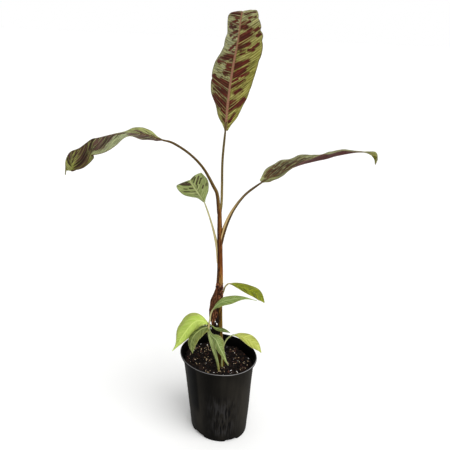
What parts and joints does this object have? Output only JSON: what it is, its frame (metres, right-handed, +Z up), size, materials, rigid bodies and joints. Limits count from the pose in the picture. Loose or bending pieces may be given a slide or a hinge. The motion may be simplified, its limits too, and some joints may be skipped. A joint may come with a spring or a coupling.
{
  "type": "potted banana plant",
  "caption": "Young banana plant in a black nursery pot: slender brown pseudostem, large arching leaves with maroon blotches, a dry sheath and a leafy sucker.",
  "frame": {"origin": "centre of the pot's flat underside", "axes": "+Z up; +X to the right and +Y away from the viewer as the plant is pictured"},
  "size_m": [0.5824, 0.2121, 0.866],
  "materials": {
    "pot_plastic": "satin",
    "potting_mix": "matte, coarse",
    "stem": "satin, fibrous",
    "pale_stem": "satin",
    "brown_petiole": "satin",
    "olive_petiole": "satin",
    "dead_sheath": "matte, papery",
    "patterned_leaf": "satin",
    "sage_leaf": "satin",
    "bright_leaf": "satin",
    "olive_leaf": "satin",
    "yellow_leaf": "satin"
  },
  "bodies": {
    "root": {"pot": "pot_plastic", "potting_soil": "potting_mix", "pseudostem": "stem", "sucker_stem": "pale_stem", "dry_sheath": "dead_sheath", "left_petiole": "brown_petiole", "top_petiole": "olive_petiole", "right_petiole": "brown_petiole", "small_petiole": "pale_stem", "sucker_petiole_right": "pale_stem", "node_petiole_right": "brown_petiole", "ground_petiole_right": "pale_stem", "top_leaf": "patterned_leaf", "left_leaf": "patterned_leaf", "right_leaf": "patterned_leaf", "small_leaf": "sage_leaf", "sucker_leaf_left": "bright_leaf", "sucker_leaf_low": "olive_leaf", "sucker_leaf_front": "sage_leaf", "sucker_leaf_cross": "sage_leaf", "sucker_leaf_right": "sage_leaf", "node_leaf_right": "olive_leaf", "ground_leaf_right": "yellow_leaf"}
  },
  "joints": []
}
